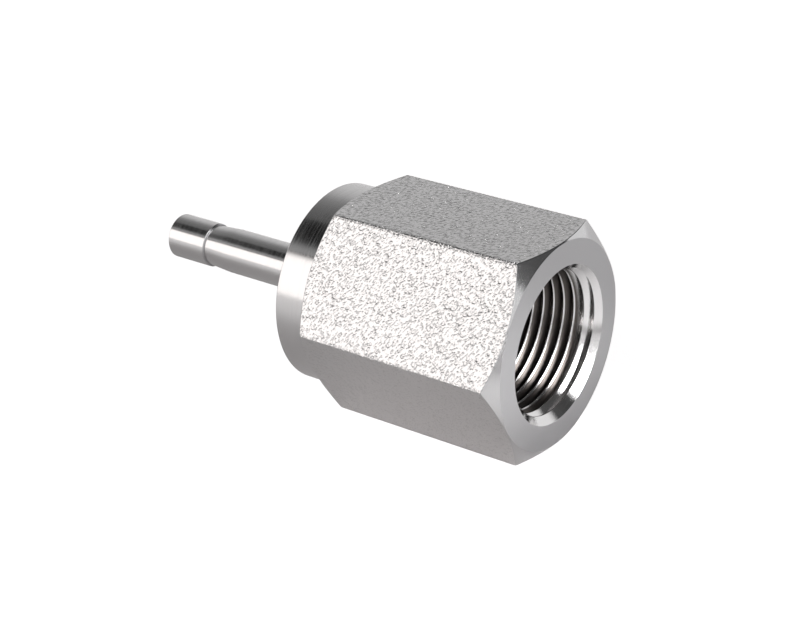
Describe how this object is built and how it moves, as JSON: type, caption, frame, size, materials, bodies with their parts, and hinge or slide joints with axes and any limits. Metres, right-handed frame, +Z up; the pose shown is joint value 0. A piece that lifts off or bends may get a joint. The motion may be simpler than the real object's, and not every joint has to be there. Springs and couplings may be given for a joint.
{
  "type": "female tube adapter",
  "caption": "Hexagonal steel tube adapter with a parallel female thread at one end, a turned collar and a pre-grooved tube stub at the other, joined by a through bore.",
  "frame": {"origin": "centre of the port face, on the fitting's axis", "axes": "+X along the axis and out of the female port, so the tube stub points along -X; +Z up, square to the flat opposite the one that it lies on"},
  "size_m": [0.0608, 0.0312, 0.027],
  "materials": {
    "stainless_steel": "drawn and pitted on the flats, fine turned everywhere else"
  },
  "bodies": {
    "root": {"adapter_body": "stainless_steel"}
  },
  "joints": []
}
